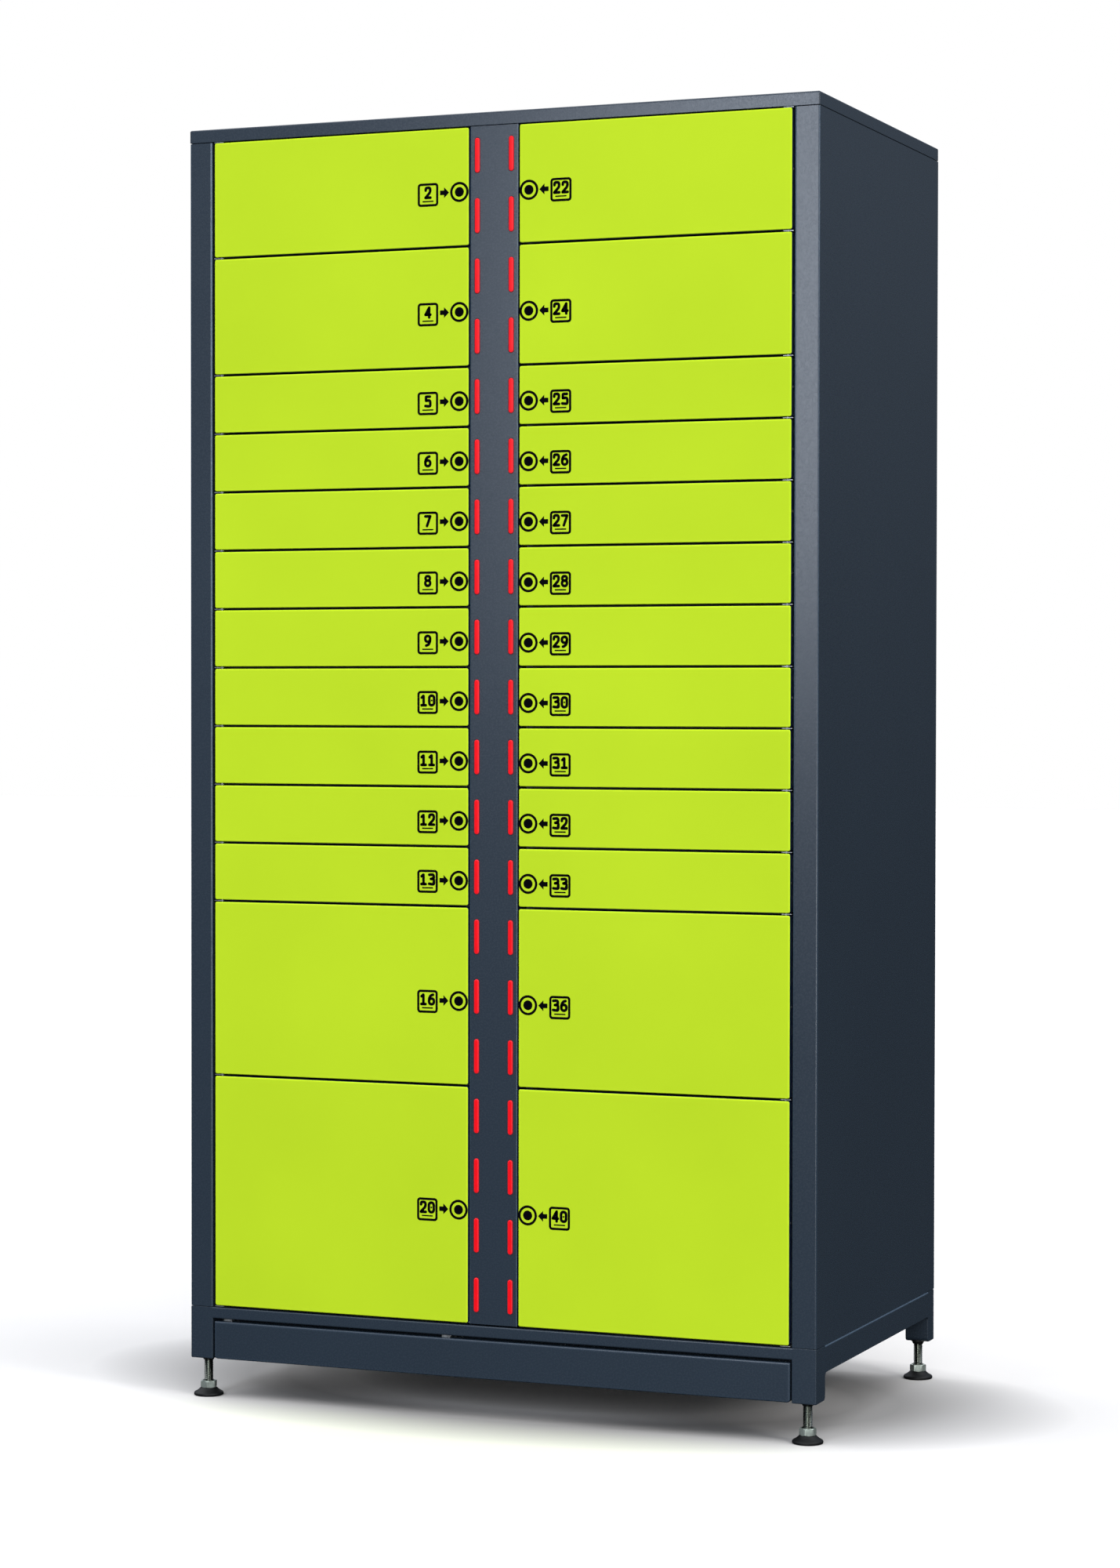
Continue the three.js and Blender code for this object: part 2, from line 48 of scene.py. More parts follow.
CABINET = "cabinet"

CAMERA_PLACE = (2.1247, -5.2502, 1.0592)
CAMERA_YAW, CAMERA_PITCH, CAMERA_ROLL = 22.170, -1.295, -0.085  # degrees
FOCAL_LENGTH = 84.42
SENSOR_WIDTH = 36


# ---------------------------------------------------------------- camera
def make_camera():
    """A camera that looks along +Y when it isn't turned; it turns by roll, then pitch, then yaw."""
    turn = (
        Matrix.Rotation(math.radians(CAMERA_YAW), 3, "Z")
        @ Matrix.Rotation(math.radians(CAMERA_PITCH), 3, "X")
        @ Matrix.Rotation(math.radians(CAMERA_ROLL), 3, "Y")
    )
    right, forward, up = turn.col[0], turn.col[1], turn.col[2]
    camera = bpy.data.cameras.new("camera")
    camera.sensor_width = SENSOR_WIDTH
    camera.lens = FOCAL_LENGTH
    camera.clip_end = 100
    holder = bpy.data.objects.new("camera", camera)
    axes = Matrix((right, up, -forward)).transposed()
    holder.matrix_world = Matrix.Translation(CAMERA_PLACE) @ axes.to_4x4()
    bpy.context.scene.collection.objects.link(holder)
    bpy.context.scene.camera = holder


make_camera()


# ---------------------------------------------------------------- materials
class Graph:
    """A material on one Principled shader, with shorthand for the nodes that feed it."""

    def __init__(self, name, colour, roughness, metallic=0.0, **constants):
        self.material = bpy.data.materials.new(name)
        self.material.use_nodes = True
        self.tree = self.material.node_tree
        self.shader = self.tree.nodes["Principled BSDF"]
        self.colour = (*colour, 1.0)
        self.shader.inputs["Base Color"].default_value = self.colour
        self.shader.inputs["Roughness"].default_value = roughness
        self.shader.inputs["Metallic"].default_value = metallic
        for socket, value in constants.items():
            self.shader.inputs[socket.replace("_", " ")].default_value = value
        self.place = self.tree.nodes.new("ShaderNodeTexCoord").outputs["Object"]

    def node(self, kind, **values):
        """A shader node; each value is a socket to link, an input's constant or a property."""
        made = self.tree.nodes.new("ShaderNode" + kind)
        for key, value in values.items():
            if isinstance(value, bpy.types.NodeSocket):
                self.tree.links.new(value, made.inputs[key.replace("_", " ")])
            elif key.replace("_", " ") in made.inputs:
                made.inputs[key.replace("_", " ")].default_value = value
            else:
                setattr(made, key, value)
        return made

    def stretched(self, scale):
        return self.node("Mapping", Vector=self.place, Scale=scale).outputs["Vector"]

    def noise(self, scale, detail=2.0, vector=None):
        made = self.node("TexNoise", Vector=vector or self.place, Scale=scale, Detail=detail)
        return made.outputs["Fac"]

    def spread(self, value, low, high, start=0.3, end=0.7):
        """value, from start to end, mapped on low to high."""
        made = self.node("MapRange")
        self.tree.links.new(value, made.inputs["Value"])
        made.inputs["From Min"].default_value = start
        made.inputs["From Max"].default_value = end
        made.inputs["To Min"].default_value = low
        made.inputs["To Max"].default_value = high
        return made.outputs["Result"]

    def blend(self, factor, first, second):
        """first where factor is 0 and second where it is 1; each is a colour or a socket."""
        made = self.node("Mix", data_type="RGBA")
        self.tree.links.new(factor, made.inputs[0])
        for index, value in ((6, first), (7, second)):
            if isinstance(value, bpy.types.NodeSocket):
                self.tree.links.new(value, made.inputs[index])
            else:
                made.inputs[index].default_value = value
        return made.outputs[2]

    def shade(self, amount):
        """The material's own colour, times an amount."""
        return tuple(min(1.0, c * amount) for c in self.colour[:3]) + (1.0,)

    def vary_colour(self, scale, darker, lighter):
        mixed = self.blend(self.spread(self.noise(scale, 3.0), 0, 1),
                           self.shade(darker), self.shade(lighter))
        self.tree.links.new(mixed, self.shader.inputs["Base Color"])
        return mixed

    def vary_roughness(self, scale, low, high):
        self.tree.links.new(self.spread(self.noise(scale, 3.0), low, high),
                            self.shader.inputs["Roughness"])

    def bump(self, height, strength, distance):
        made = self.node("Bump", Strength=strength, Distance=distance)
        self.tree.links.new(height, made.inputs["Height"])
        self.tree.links.new(made.outputs["Normal"], self.shader.inputs["Normal"])


def powder_coat(name, colour, roughness, specular, peel=0.25, rubbed_and_highlit=1.15):
    """Fine-texture powder coat: grains under a millimetre, slow drifts of tone, and a painted highlight on the
    bends, a lighter tone where the mesh's bend attribute is above 0, made patchy like wear."""
    g = Graph(name, colour, roughness, Specular_IOR_Level=specular)
    tone = g.vary_colour(3.0, 0.965, 1.035)
    # The bend attribute marks the folds that get the painted highlight; the noise below makes it patchy like wear.
    bend = g.node("Attribute", attribute_name="bend").outputs["Fac"]
    wear_and_highlight = g.node("Math", operation="MULTIPLY")
    g.tree.links.new(bend, wear_and_highlight.inputs[0])
    g.tree.links.new(g.spread(g.noise(60.0, 4.0), 0.6, 1.0), wear_and_highlight.inputs[1])
    # The painted highlight: folds blend towards a lighter copy of the coat.
    g.tree.links.new(g.blend(wear_and_highlight.outputs[0], tone, g.shade(rubbed_and_highlit)), g.shader.inputs["Base Color"])
    g.vary_roughness(350.0, roughness - 0.03, roughness + 0.03)
    g.bump(g.noise(1300.0, 2.0), peel, 0.00012)
    return g.material


def moulded(name, colour, roughness, grain=2500.0, specular=0.5):
    """Moulded plastic or rubber with a fine grain."""
    g = Graph(name, colour, roughness, Specular_IOR_Level=specular)
    g.vary_colour(25.0, 0.9, 1.12)
    g.vary_roughness(120.0, roughness - 0.06, roughness + 0.06)
    g.bump(g.noise(grain, 2.0), 0.15, 0.0001)
    return g.material


def plated(name, colour, roughness, scale=350.0, metallic=1.0):
    """Zinc plate: bright metal with a mottled bloom and fine drawn lines."""
    g = Graph(name, colour, roughness, metallic)
    g.vary_colour(scale, 0.8, 1.1)
    g.vary_roughness(scale / 3, roughness - 0.08, roughness + 0.1)
    g.bump(g.noise(60.0, 3.0, g.stretched((30.0, 30.0, 1.0))), 0.1, 0.0001)
    return g.material


def lens(name, colour, glow):
    """Dyed plastic over a light that is barely on."""
    g = Graph(name, colour, 0.32, Specular_IOR_Level=0.12, Emission_Color=(*colour, 1.0), Emission_Strength=glow)
    g.vary_colour(140.0, 0.93, 1.05)
    g.bump(g.noise(220.0, 1.0), 0.05, 0.0002)
    return g.material


def printed(name, colour):
    """Matt screen-printed ink."""
    g = Graph(name, colour, 0.6, Specular_IOR_Level=0.02)
    g.vary_colour(400.0, 0.8, 1.3)
    g.bump(g.noise(1500.0, 2.0), 0.1, 0.00005)
    return g.material


# Folds of the anthracite coat are painted up to 4.5 times lighter, a painted highlight for light caught by the bends;
# the other coats keep the slight painted highlight of 1.15.
ANTHRACITE = powder_coat("anthracite_coat", (0.0265, 0.0405, 0.059), 0.27, 0.5, 0.25, 4.5)
# A dark navy for the door pans' returns and back edges: painted shade, so the gaps between doors read dark.
DOOR_GAP_SHADE = powder_coat("door_edge_gap_shade", (0.016, 0.036, 0.105), 0.4, 0.3)
RACK_COAT = powder_coat("rack_coat", (0.030, 0.040, 0.052), 0.46, 0.4)
LIME = powder_coat("lime_coat", (0.605, 0.842, 0.022), 0.65, 0.08, 0.1)
ZINC = plated("zinc", (0.62, 0.64, 0.64), 0.32)
LADDER_ZINC = plated("ladder_zinc", (0.40, 0.42, 0.43), 0.42)
FOOT_ZINC = plated("foot_zinc", (0.30, 0.32, 0.29), 0.24, 500.0)
NUT_ZINC = plated("nut_zinc", (0.54, 0.61, 0.55), 0.42, 350.0, 0.7)
FOOT_BLACK = moulded("foot_black", (0.007, 0.0075, 0.008), 0.5, 2500.0, 0.25)
RED = lens("red_lens", (0.96, 0.006, 0.013), 0.12)
# The lens rim in a lighter red: a painted highlight where the rounded rim catches the light.
RED_RIM_HIGHLIGHT = lens("red_lens_rim_highlight", (0.96, 0.03, 0.045), 0.1)
BOARD = moulded("strip_board", (0.02, 0.05, 0.035), 0.5)
LOCK_BLACK = moulded("lock_black", (0.014, 0.015, 0.017), 0.45)
CONTROL_BLACK = moulded("control_black", (0.018, 0.019, 0.021), 0.5)
SUPPLY_STEEL = plated("supply_steel", (0.45, 0.47, 0.48), 0.42, 120.0)
TRUNK_GREY = moulded("trunk_plastic", (0.55, 0.56, 0.55), 0.5)
INLET_BLACK = moulded("inlet_black", (0.016, 0.016, 0.018), 0.4)
PRINT = printed("print_black", (0.0015, 0.0015, 0.003))


# ---------------------------------------------------------------- mesh helpers
def rounded(x0, x1, z0, z1, radius, steps=4, low_radius=None):
    """Corner points of a rounded rectangle, anticlockwise; its lower corners may have a radius of their own."""
    low = radius if low_radius is None else low_radius
    points = []
    for corner, (r, cx, cz) in enumerate(((low, x1 - low, z0 + low), (radius, x1 - radius, z1 - radius),
                                          (radius, x0 + radius, z1 - radius), (low, x0 + low, z0 + low))):
        for step in range(steps + 1):
            angle = math.pi / 2 * (corner - 1 + step / steps)
            points.append((cx + r * math.cos(angle), cz + r * math.sin(angle)))
    return points


def circle(x, z, radius, steps=32):
    return [(x + radius * math.cos(2 * math.pi * i / steps), z + radius * math.sin(2 * math.pi * i / steps))
            for i in range(steps)]


def filleted(points, radius, closed=False, steps=5):
    """A polyline whose corners are rounded by as much of the radius as its sides leave room for."""
    count = len(points)
    made = []
    for i, point in enumerate(points):
        if not closed and i in (0, count - 1):
            made.append(point)
            continue
        here = Vector(point)
        before = Vector(points[i - 1]) - here
        after = Vector(points[(i + 1) % count]) - here
        reach = min(radius, before.length * 0.49, after.length * 0.49)
        a = here + before.normalized() * reach
        b = here + after.normalized() * reach
        for step in range(steps + 1):
            t = step / steps
            made.append(tuple(a * (1 - t) ** 2 + here * 2 * t * (1 - t) + b * t * t))
    return made


def offset(points, distance):
    """An open line moved sideways, to its left, by a distance."""
    moved = []
    for i, point in enumerate(points):
        here = Vector(point)
        before = (here - Vector(points[i - 1])).normalized() if i else None
        after = (Vector(points[i + 1]) - here).normalized() if i + 1 < len(points) else None
        along = ((before or after) + (after or before)).normalized()
        across = Vector((-along.y, along.x))
        side = before or after
        moved.append(tuple(here + across * (distance / across.dot(Vector((-side.y, side.x))))))
    return moved


class Shape:
    """A mesh under construction, in millimetres; object() turns it into a Blender object in metres."""

    def __init__(self):
        self.bm = bmesh.new()
        # Per vertex, how strong the painted fold highlight, with some wear, is.
        self.bend = self.bm.verts.layers.float.new("bend")

    def ring(self, points, rub_and_highlight=0.0):
        """One row of vertices; the fold value, a painted highlight with some wear, is one value for all of them or a
        list with one for each.
        """
        made = []
        for i, point in enumerate(points):
            vert = self.bm.verts.new(point)
            vert[self.bend] = rub_and_highlight[i] if isinstance(rub_and_highlight, list) else rub_and_highlight
            made.append(vert)
        return made

    def face(self, verts, slot=0):
        made = self.bm.faces.new(verts)
        made.material_index = slot
        return made

    def bridge(self, first, second, slot=0):
        count = len(first)
        for i in range(count):
            j = (i + 1) % count
            self.face((first[i], first[j], second[j], second[i]), slot)

    def loft(self, rings, slot=0, start=True, end=True, rubs_and_highlights=None):
        made = [self.ring(points, rubs_and_highlights[i] if rubs_and_highlights else 0.0) for i, points in enumerate(rings)]
        for first, second in zip(made, made[1:]):
            self.bridge(first, second, slot)
        if start:
            self.face(list(reversed(made[0])), slot)
        if end:
            self.face(made[-1], slot)
        return made

    def plate(self, outline, y0, y1, slot=0):
        """An outline in X and Z, thickened from y0 to y1."""
        self.loft([[(x, y0, z) for x, z in outline], [(x, y1, z) for x, z in outline]], slot)

    def framed(self, outer, inner, y0, y1, slot=0):
        """A plate between two outlines of as many points each."""
        rings = [self.ring([(x, y, z) for x, z in line]) for line, y in
                 ((outer, y0), (outer, y1), (inner, y1), (inner, y0))]
        for i in range(4):
            self.bridge(rings[i], rings[(i + 1) % 4], slot)

    def box(self, low, high, slot=0, radius=0.0):
        (x0, y0, z0), (x1, y1, z1) = low, high
        if radius:
            self.loft([[(x, y, z) for x, z in rounded(x0 + i, x1 - i, z0 + i, z1 - i, radius, 3)]
                       for i, y in ((radius / 3, y0), (0, y0 + radius / 3), (0, y1 - radius / 3),
                                    (radius / 3, y1))], slot)
        else:
            self.plate([(x0, z0), (x1, z0), (x1, z1), (x0, z1)], y0, y1, slot)

    def lathe(self, profile, x, y, steps=48, slot=0, start=True, end=True):
        """A profile of (radius, height) turned round an upright line."""
        self.loft([[(x + r * math.cos(2 * math.pi * i / steps), y + r * math.sin(2 * math.pi * i / steps), z)
                    for i in range(steps)] for r, z in profile], slot, start, end)

    def turned(self, profile, x, z, steps=24, slot=0):
        """A profile of (radius, y) turned round a line along Y."""
        self.loft([[(x + r * math.cos(2 * math.pi * i / steps), y, z + r * math.sin(2 * math.pi * i / steps))
                    for i in range(steps)] for r, y in profile], slot)

    def sheet(self, path, radius, thickness, place, start, end, worn_and_highlit=(), highlight_share_at_start=1.0):
        """A folded strip: path is the line of its outer face, with the sheet on the line's left; place turns a
        point of the section and a distance along the strip into a point in space; the fold values set each fold's
        painted highlight, with some wear, and the share at the start how much of it is left at the strip's start,
        so that the painted highlight fades along the strip."""
        outer = filleted(path, radius, False, 6)
        inner = filleted(offset(path, thickness), max(radius - thickness, 0.4), False, 6)
        outline = outer + list(reversed(inner))
        rub_and_highlight = [0.0]
        for wear_and_highlight in worn_and_highlit or [0.0] * (len(path) - 2):
            rub_and_highlight += [0.0, 0.7 * wear_and_highlight, wear_and_highlight, wear_and_highlight, wear_and_highlight, 0.7 * wear_and_highlight, 0.0]
        rub_and_highlight += [0.0] * (1 + len(inner))
        self.loft([[place(a, b, along) for a, b in outline] for along in (start, end)],
                  rubs_and_highlights=[[highlight_share_at_start * value for value in rub_and_highlight], rub_and_highlight])

    def rivet(self, x, way, y, z, slot=0, radius=2.0, height=0.9):
        """Domed head on a face that looks along X."""
        rings = [[(x + way * out, y + r * math.cos(math.pi * k / 8), z + r * math.sin(math.pi * k / 8))
                  for k in range(16)] for r, out in
                 ((radius, -0.2), (radius, height * 0.3), (radius * 0.8, height * 0.75), (radius * 0.4, height))]
        self.loft(rings, slot)

    def object(self, name, materials, body, replaces=(), sharp=35.0):
        bmesh.ops.recalc_face_normals(self.bm, faces=self.bm.faces)
        mesh = bpy.data.meshes.new(name)
        self.bm.to_mesh(mesh)
        self.bm.free()
        mesh.transform(Matrix.Scale(MM, 4))
        for material in materials:
            mesh.materials.append(material)
        mesh.polygons.foreach_set("use_smooth", [True] * len(mesh.polygons))
        mesh.set_sharp_from_angle(angle=math.radians(sharp))
        made = bpy.data.objects.new(name, mesh)
        bpy.context.scene.collection.objects.link(made)
        made.modifiers.new("normals", "WEIGHTED_NORMAL").keep_sharp = True
        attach(made, body)
        if replaces:
            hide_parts(*replaces)
        return made


def node_box(node):
    """A node's lowest and highest corners in millimetres."""
    low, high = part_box(node)
    return low / MM, high / MM


# ---------------------------------------------------------------- CAD nodes that stay
def dress(node, material, bevel=0.5, segments=2):
    """Gives a CAD node its material, and its bends and cut edges a small radius."""
    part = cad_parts[node]
    part.material_slots[0].material = material
    weld = part.modifiers.new("weld", "WELD")
    weld.merge_threshold = 0.00001
    edge = part.modifiers.new("bevel", "BEVEL")
    edge.width = bevel * MM
    edge.segments = segments
    edge.limit_method = "ANGLE"
    edge.angle_limit = math.radians(40)
    edge.use_clamp_overlap = True
    normals = part.modifiers.new("normals", "WEIGHTED_NORMAL")
    normals.keep_sharp = True
    part.data.polygons.foreach_set("use_smooth", [True] * len(part.data.polygons))


for node, material, bevel in (
    ("back_panel", ANTHRACITE, 0.4), ("cable_trunk", TRUNK_GREY, 0.3),
    ("plinth_clip_left", ZINC, 0.2), ("plinth_clip_middle", ZINC, 0.2),
    ("rack_left", RACK_COAT, 0.3), ("rack_right", RACK_COAT, 0.3),
    ("hinge_ladder_left", LADDER_ZINC, 0.2), ("hinge_ladder_right", LADDER_ZINC, 0.2),
    ("hinge_rod_left", LADDER_ZINC, 0.3), ("hinge_rod_right", LADDER_ZINC, 0.3),
    ("lock_rail_left", LOCK_BLACK, 0.5), ("lock_rail_right", LOCK_BLACK, 0.5),
    ("control_box", CONTROL_BLACK, 1.5), ("power_supply", SUPPLY_STEEL, 0.8),
    ("power_inlet", INLET_BLACK, 0.4),
):
    dress(node, material, bevel)


# ---------------------------------------------------------------- folded sheet
SHEET = 1.5
PAN_DEPTH = 18.0
DOOR_OUTER = 458.5
PIVOT_X = 450.5
PIVOT_DEPTH = 9.0  # from the doors' front faces to the hinge line


def pan(shape, x0, x1, z0, z1, front, depth, bend, corner, edge_slot=0, low_corner=None, worn_and_highlit=1.0):
    """A folded pan: skin, four returns with rounded bends, open at the back."""
    low_corner = corner if low_corner is None else low_corner
    back = front + depth
    steps = [math.pi / 8 * i for i in range(5)]
    outside = [(bend * (1 - math.sin(a)), front + bend * (1 - math.cos(a))) for a in steps]
    # Each line's third figure is the painted highlight, with some wear, on the bend and on the returns' back edge.
    lines = [(9.0, front, 0.0, 0), (bend * 1.5 + 0.8, front, 0.0, 0)]
    lines += [(inset, y, worn_and_highlit, 0) for inset, y in outside[:4]]
    lines += [(*outside[4], worn_and_highlit, edge_slot), (0.0, back - 0.4, 0.0, edge_slot), (0.3, back, 0.6, edge_slot),
              (SHEET - 0.3, back, 0.6, edge_slot), (SHEET, back - 0.4, 0.0, edge_slot),
              (SHEET, front + SHEET + 0.6, 0.0, edge_slot), (SHEET + 0.6, front + SHEET, 0.0, edge_slot)]
    rings = [shape.ring([(x, y, z) for x, z in rounded(x0 + i, x1 - i, z0 + i, z1 - i, max(corner - i, 0.4), 4,
                                                       max(low_corner - i, 0.4))], rub_and_highlight)
             for i, y, rub_and_highlight, _ in lines]
    for first, second, line in zip(rings, rings[1:], lines[1:]):
        shape.bridge(first, second, line[3])
    shape.face(list(reversed(rings[0])), 0)
    shape.face(rings[-1], edge_slot)


# ---------------------------------------------------------------- case
FIELD_BOTTOM = 139.5
UNIT = 88.1
UNITS = 20
BAR_X = 27.0
BAR_WIDTH = 7.6
BAR_LENGTH = 51.0
BEND_RADIUS = 2.6
JAMB_WIDTH = 37.0
JAMB_DEPTH = 30.0
JAMB_RETURN = 14.0


def flipped(side):
    """Places a section drawn in X and Y for the right-hand side, on either side and at a height."""
    return lambda x, y, z: (side * x, y, z)


def build_side_panel(name, side):
    """Skin and front jamb of one sheet, the rear flange, and a flat at the top and at the bottom."""
    low, high = node_box(f"side_panel_{name}")
    outer, front, back = max(abs(low.x), abs(high.x)), low.y, high.y
    edge = outer - JAMB_WIDTH
    shape = Shape()
    jamb = [(edge + JAMB_RETURN, front + JAMB_DEPTH), (edge, front + JAMB_DEPTH), (edge, front),
            (outer, front), (outer, back)]
    # Two of the jamb's folds carry a painted highlight, which fades to a tenth at the bottom as if the light fell
    # from high up.
    shape.sheet(jamb, BEND_RADIUS, SHEET, flipped(side), low.z + 0.3, high.z - 0.6, (0.0, 1.0, 0.4), 0.1)
    rear = back - 1.8
    shape.sheet([(outer - 1.6, rear - 20), (outer - 1.6, rear), (outer - 22, rear)], 2.0, SHEET, flipped(side),
                low.z + 2, high.z - 2)
    for z in (low.z, high.z - SHEET):
        x0, x1 = sorted((side * (outer - 14), side * (outer - 1)))
        shape.box((x0, front + 4, z), (x1, rear, z + SHEET))
    shape.object(f"side_panel_{name}_folded", [ANTHRACITE], CABINET, [f"side_panel_{name}"])


def cap_ring(x, y0, y1, inset, z, notch):
    """One level of the cap's outline; a notch near each corner is the open seam where two flanges meet."""
    points = rounded(-x + inset, x - inset, y0 + inset, y1 - inset, 0.9, 3)
    made = []
    count = len(points)
    for i, (px, py) in enumerate(points):
        made.append((px, py, z))
        nx, ny = points[(i + 1) % count]
        if abs(py - ny) < 1e-6 and abs(px - nx) > 10:
            way = 1 if nx > px else -1
            inward = 1 if py < 0 else -1
            for end, order in ((px, (0.5, 0.55, 0.95, 1.0)), (nx, (-1.0, -0.95, -0.55, -0.5))):
                for k, shift in enumerate(order):
                    deep = notch if k in (1, 2) else 0.0
                    made.append((end + way * shift, py + inward * deep, z))
    return made


def build_cap():
    """The top tray: a skirt with a rounded fold, mitred corners and two stiffening flats inside."""
    low, high = node_box("top_cap")
    x, y0, y1, z0, z1 = high.x, low.y, high.y, low.z, high.z
    levels = [(0.5, z0, 0.9), (0.0, z0 + 0.5, 0.9)]
    for k in range(6):
        angle = math.pi / 10 * k
        levels.append((BEND_RADIUS * (1 - math.cos(angle)), z1 - BEND_RADIUS * (1 - math.sin(angle)), 0.9 - 0.15 * k))
    levels.append((14.0, z1, 0.0))
    shape = Shape()
    outer = shape.loft([cap_ring(x, y0, y1, *level) for level in levels], start=False)
    inner = shape.loft([cap_ring(x - 1.5, y0 + 1.5, y1 - 1.5, 0.0, z, 0.0) for z in (z0, z1 - SHEET)], start=False)
    shape.bridge(outer[0], inner[0])
    for y in (y0 + 1.6, y1 - 14):
        shape.box((-x + 1.6, y, z0), (x - 1.6, y + 12.4, z0 + SHEET))
    shape.object("top_cap_folded", [ANTHRACITE], CABINET, ["top_cap"])


def build_plinth_cover():
    low, high = node_box("plinth_cover")
    shape = Shape()
    # The cover's bends carry a faint painted highlight.
    pan(shape, low.x, high.x, low.z, high.z, low.y, high.y - low.y, 2.2, 1.2, 0, 5.0, 0.1)
    shape.object("plinth_cover_pan", [ANTHRACITE], "plinth_cover_body", ["plinth_cover"])


def bar_line(x, z, inset):
    """The outline of a light bar, moved inwards."""
    half = BAR_WIDTH / 2 - inset
    return rounded(x - half, x + half, z - BAR_LENGTH / 2 + inset, z + BAR_LENGTH / 2 - inset, half, 6)


def build_post():
    """The post's cover: a front strip with a slot for every light, and folded sides."""
    low, high = node_box("post_cover")
    front, half = low.y, high.x
    flat = half - BEND_RADIUS
    bottom, top = low.z + 2.2, high.z - 0.2
    shape = Shape()
    for i in range(UNITS):
        z0 = bottom if i == 0 else FIELD_BOTTOM + UNIT * i
        z1 = top if i == UNITS - 1 else FIELD_BOTTOM + UNIT * (i + 1)
        middle = FIELD_BOTTOM + UNIT * (i + 0.5)
        for side in (-1, 1):
            x0, x1 = sorted((0.0, side * flat))
            cell = rounded(x0, x1, z0, z1, 0.001, 6)
            lines = ((cell, front), (bar_line(side * BAR_X, middle, -0.8), front),
                     (bar_line(side * BAR_X, middle, -0.4), front + 0.4),
                     (bar_line(side * BAR_X, middle, -0.4), front + SHEET), (cell, front + SHEET))
            rings = [shape.ring([(x, y, z) for x, z in line]) for line, y in lines]
            for first, second in zip(rings, rings[1:]):
                shape.bridge(first, second)
    bmesh.ops.dissolve_degenerate(shape.bm, dist=0.01, edges=shape.bm.edges)
    for side in (-1, 1):
        fold = [(flat - 0.01, front), (half, front), (half, front + 22)]
        # The post's side folds carry a painted highlight.
        shape.sheet(fold, BEND_RADIUS, SHEET, flipped(side), bottom, top, (0.7,))
    shape.object("post_cover_slotted", [ANTHRACITE], CABINET, ["post_cover"])


LEG_WIDTH = 37.0
LEG_DEPTH_FRONT = 42.0
LEG_DEPTH_BACK = 32.0
RAIL_HEIGHT = 39.0
RAIL_LIP = 26.0
FRONT_RAIL_HEIGHT = 17.0
SHADE_BACK = 30.5
SHADE_DROP = 8.0


def leg_outline(y0, y1, z0, z1, rear, inset):
    """Side view of a leg: square at the top and at the outer face, well rounded at the inner foot. rear is 1
    for a front leg and -1 for a back one."""
    points = [(y0, z1), (y0, z0), (y1, z0), (y1, z1)] if rear > 0 else [(y1, z1), (y1, z0), (y0, z0), (y0, z1)]
    centre = Vector(((y0 + y1) / 2, (z0 + z1) / 2))
    made = []
    for i, radius in enumerate((0.6, 2.0, 7.0, 0.6)):
        here = Vector(points[i])
        before, after = Vector(points[i - 1]), Vector(points[(i + 1) % 4])
        a = here + (before - here).normalized() * radius
        b = here + (after - here).normalized() * radius
        for step in range(6):
            t = step / 5
            spot = a * (1 - t) ** 2 + here * 2 * t * (1 - t) + b * t * t
            made.append((spot.x + (inset if spot.x < centre.x else -inset),
                         spot.y + (inset if spot.y < centre.y else -inset)))
    return made


def build_base():
    """Four legs and the rails between them."""
    low, high = node_box("base_frame")
    x, front, back, z0, z1 = high.x, low.y, high.y, low.z, high.z
    inner_front, inner_back = front + LEG_DEPTH_FRONT, back - LEG_DEPTH_BACK
    rail_bottom = z1 - RAIL_HEIGHT
    inner_x = x - LEG_WIDTH
    shape = Shape()
    for side in (-1, 1):
        for y0, y1, rear in ((front, inner_front, 1), (inner_back, back, -1)):
            levels = ((1.4, inner_x), (0.4, inner_x + 0.4), (0.0, inner_x + 1.4), (0.0, x - 1.4), (0.4, x - 0.4),
                      (1.4, x))
            shape.loft([[(side * px, y, z) for y, z in leg_outline(y0, y1, z0, z1, rear, inset)]
                        for inset, px in levels])
        rail = [(x, rail_bottom), (x, z1), (x - RAIL_LIP, z1)]
        # The side rail's top fold carries a painted highlight.
        shape.sheet(rail, 3.0, 2.0, lambda a, b, y, s=side: (s * a, y, b), inner_front - 1, inner_back + 1, (0.8,))
        for y, way in ((inner_front, 1), (inner_back, -1)):  # the small gusset in each corner
            corner = [(y - way, rail_bottom + 0.5), (y + way * 4, rail_bottom), (y - way, rail_bottom - 4.5)]
            shape.loft([[(side * (x - gap), a, b) for a, b in corner] for gap in (2.0, 0.1)])
    span = inner_x + 1

    def across(a, b, along):
        return along, a, b

    shape.sheet([(front + RAIL_LIP, z1), (front, z1), (front, z1 - FRONT_RAIL_HEIGHT),
                 (front + SHADE_BACK, z1 - FRONT_RAIL_HEIGHT),
                 (front + SHADE_BACK, z1 - FRONT_RAIL_HEIGHT - SHADE_DROP)], 2.2, 2.0, across, -span, span)
    shape.sheet([(back, rail_bottom), (back, z1), (back - RAIL_LIP, z1)], 2.2, 2.0, across, -span, span)
    shape.object("base_frame_folded", [ANTHRACITE], CABINET, ["base_frame"])


